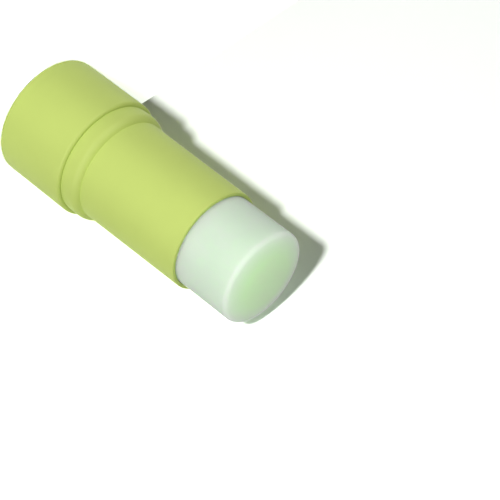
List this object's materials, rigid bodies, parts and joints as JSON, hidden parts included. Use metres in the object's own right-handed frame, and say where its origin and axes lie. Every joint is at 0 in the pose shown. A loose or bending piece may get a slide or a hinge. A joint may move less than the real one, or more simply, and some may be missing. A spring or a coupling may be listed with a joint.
{
  "type": "balm stick",
  "caption": "Round twist-up balm stick, open, with a wide turning base, a collared barrel and a domed balm that a screw raises and lowers.",
  "frame": {"origin": "middle of the underside of the base, on the stick's axis", "axes": "+Z along the stick's axis, from the base to the balm's end; -Y is the side that the picture shows"},
  "size_m": [0.03, 0.03, 0.0721],
  "materials": {
    "lime_shell": "soft-touch matt lime plastic",
    "lime_barrel": "soft-touch matt lime plastic",
    "insert_plastic": "plain moulded white plastic",
    "nut_plastic": "smooth moulded white plastic",
    "screw_plastic": "smooth moulded white plastic",
    "carrier_plastic": "smooth moulded white plastic",
    "ring_rubber": "dark soft rubber",
    "balm": "smooth waxy balm, pale mint green"
  },
  "bodies": {
    "base": {"base_shell": "lime_shell", "base_insert": "insert_plastic", "drive_nut": "nut_plastic"},
    "barrel": {"barrel": "lime_barrel", "friction_ring": "ring_rubber"},
    "lift": {"lift_screw": "screw_plastic", "carrier": "carrier_plastic", "balm": "balm"}
  },
  "joints": [
    {"name": "barrel_twist", "type": "hinge", "parent": "base", "child": "barrel", "pos_m": [0, 0, 0.0203], "axis": [0, 0, 1], "range_deg": [-1051, 241]},
    {"name": "balm_lift", "type": "slide", "parent": "barrel", "child": "lift", "axis": [0, 0, 1], "range_m": [-0.0175, 0.004]}
  ],
  "couplings": [
    {"joint": "barrel_twist", "follows": "balm_lift", "rad_per_m": 1047.2}
  ]
}
